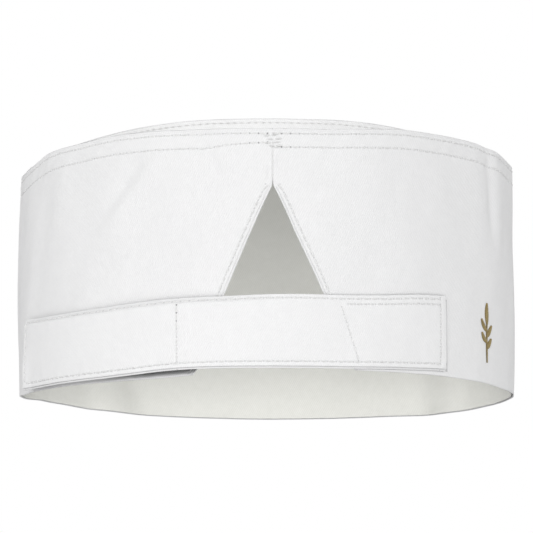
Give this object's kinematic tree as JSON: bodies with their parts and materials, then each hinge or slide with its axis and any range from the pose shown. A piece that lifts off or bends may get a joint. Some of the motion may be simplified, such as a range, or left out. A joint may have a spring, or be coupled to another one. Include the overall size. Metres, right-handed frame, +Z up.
{
  "type": "spa headband",
  "caption": "Open-topped white twill headband, low at the nape and tall in front, with a back vent closed by a hook-and-loop strap and a small embroidered sprig.",
  "frame": {"origin": "centre of the band's outline on the plane of its bottom edge", "axes": "+Z up, +Y towards the forehead, -Y towards the vent and strap at the nape, +X to the right of somebody who looks at the back"},
  "size_m": [0.1806, 0.1848, 0.1228],
  "materials": {
    "outer_twill": "matt white cotton-polyester twill",
    "strap_twill": "matt white cotton-polyester twill, folded edges",
    "lining_twill": "matt white twill, unbleached side",
    "interlining": "stiff non-woven, matt",
    "tape_web": "woven nylon tape, slight sheen",
    "loop_pile": "brushed nylon pile",
    "hook_filament": "translucent nylon filament hooks",
    "sewing_thread": "spun polyester thread",
    "gold_thread": "antique gold rayon embroidery thread, satin sheen"
  },
  "bodies": {
    "band": {"band_outer": "outer_twill", "band_interlining": "interlining", "band_lining": "lining_twill", "top_hem_stitching_upper": "sewing_thread", "top_hem_stitching_lower": "sewing_thread", "vent_edge_stitching": "sewing_thread", "centre_back_stitching": "sewing_thread", "hem_back_tack": "sewing_thread", "strap_anchor_outer": "strap_twill", "strap_anchor_backing": "strap_twill", "strap_anchor_stitching": "sewing_thread", "loop_tape_web": "tape_web", "loop_tape_pile": "loop_pile", "loop_tape_stitching": "sewing_thread", "embroidered_sprig": "gold_thread"},
    "strap_bridge": {"strap_bridge_outer": "strap_twill", "strap_bridge_backing": "strap_twill", "strap_bridge_stitching": "sewing_thread"},
    "strap_tip": {"strap_tip_outer": "strap_twill", "strap_tip_backing": "strap_twill", "strap_tip_stitching": "sewing_thread", "hook_tape_web": "tape_web", "hook_tape_hooks": "hook_filament", "hook_tape_stitching": "sewing_thread"}
  },
  "joints": [
    {"name": "strap_fold", "type": "hinge", "parent": "band", "child": "strap_bridge", "pos_m": [0.0214, -0.08803, 0.0125], "axis": [0, 0, 1], "range_deg": [0, 120]},
    {"name": "strap_peel", "type": "hinge", "parent": "strap_bridge", "child": "strap_tip", "pos_m": [-0.03147, -0.08699, 0.0125], "axis": [0, 0, 1], "range_deg": [0, 80]}
  ]
}
